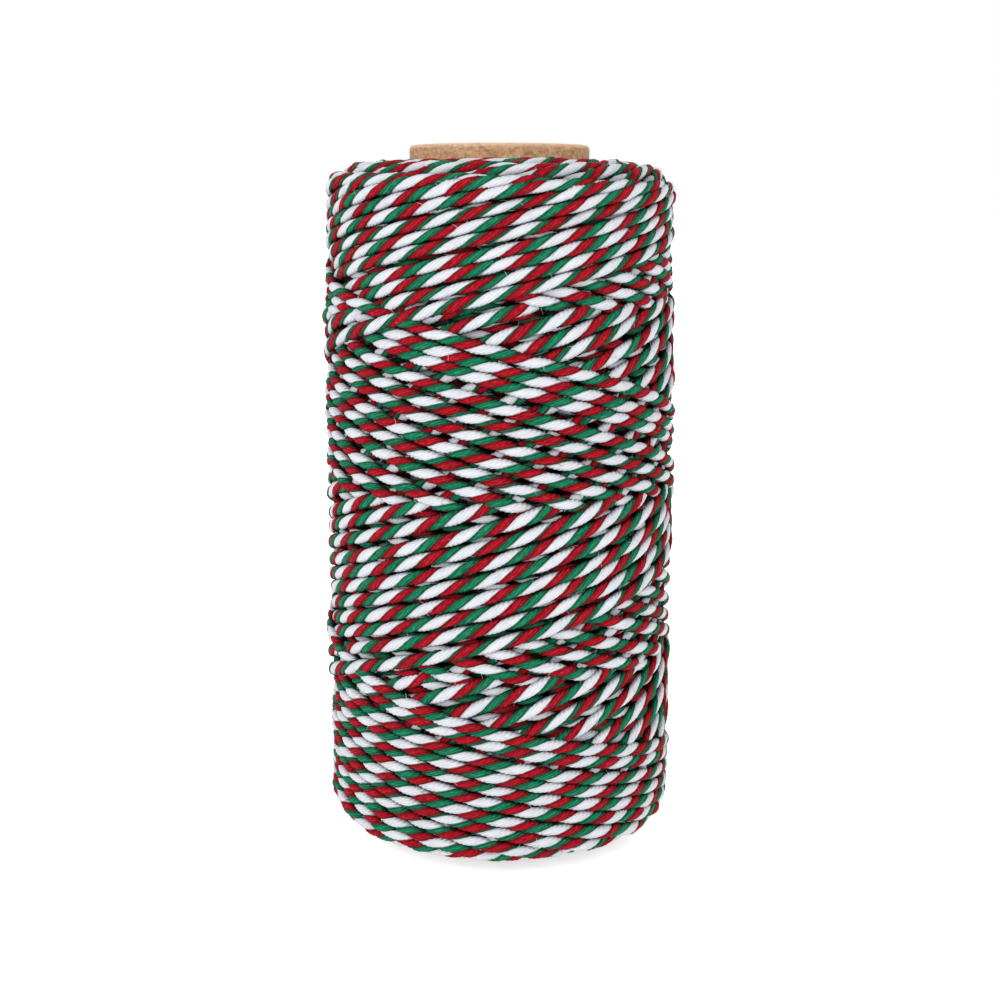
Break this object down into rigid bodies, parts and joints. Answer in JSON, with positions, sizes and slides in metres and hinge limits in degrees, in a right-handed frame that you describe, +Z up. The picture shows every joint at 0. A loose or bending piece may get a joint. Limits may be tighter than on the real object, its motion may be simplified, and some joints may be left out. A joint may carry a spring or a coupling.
{
  "type": "roll of twisted cord on a cardboard tube",
  "caption": "Upright cross-wound roll of thin three-coloured twisted cotton cord on an open cardboard tube.",
  "frame": {"origin": "middle of the tube's lower rim, which the roll stands on", "axes": "+Z up along the tube's axis; -Y is the side that faces the viewer"},
  "size_m": [0.056, 0.056, 0.111],
  "materials": {
    "tube_board": "bare kraft board, matt, with faint fibres and a spiral seam",
    "cord_cotton": "matt twisted cotton cord of white, red and green strands"
  },
  "bodies": {
    "root": {"core_tube": "tube_board", "cord_winding": "cord_cotton"}
  },
  "joints": []
}
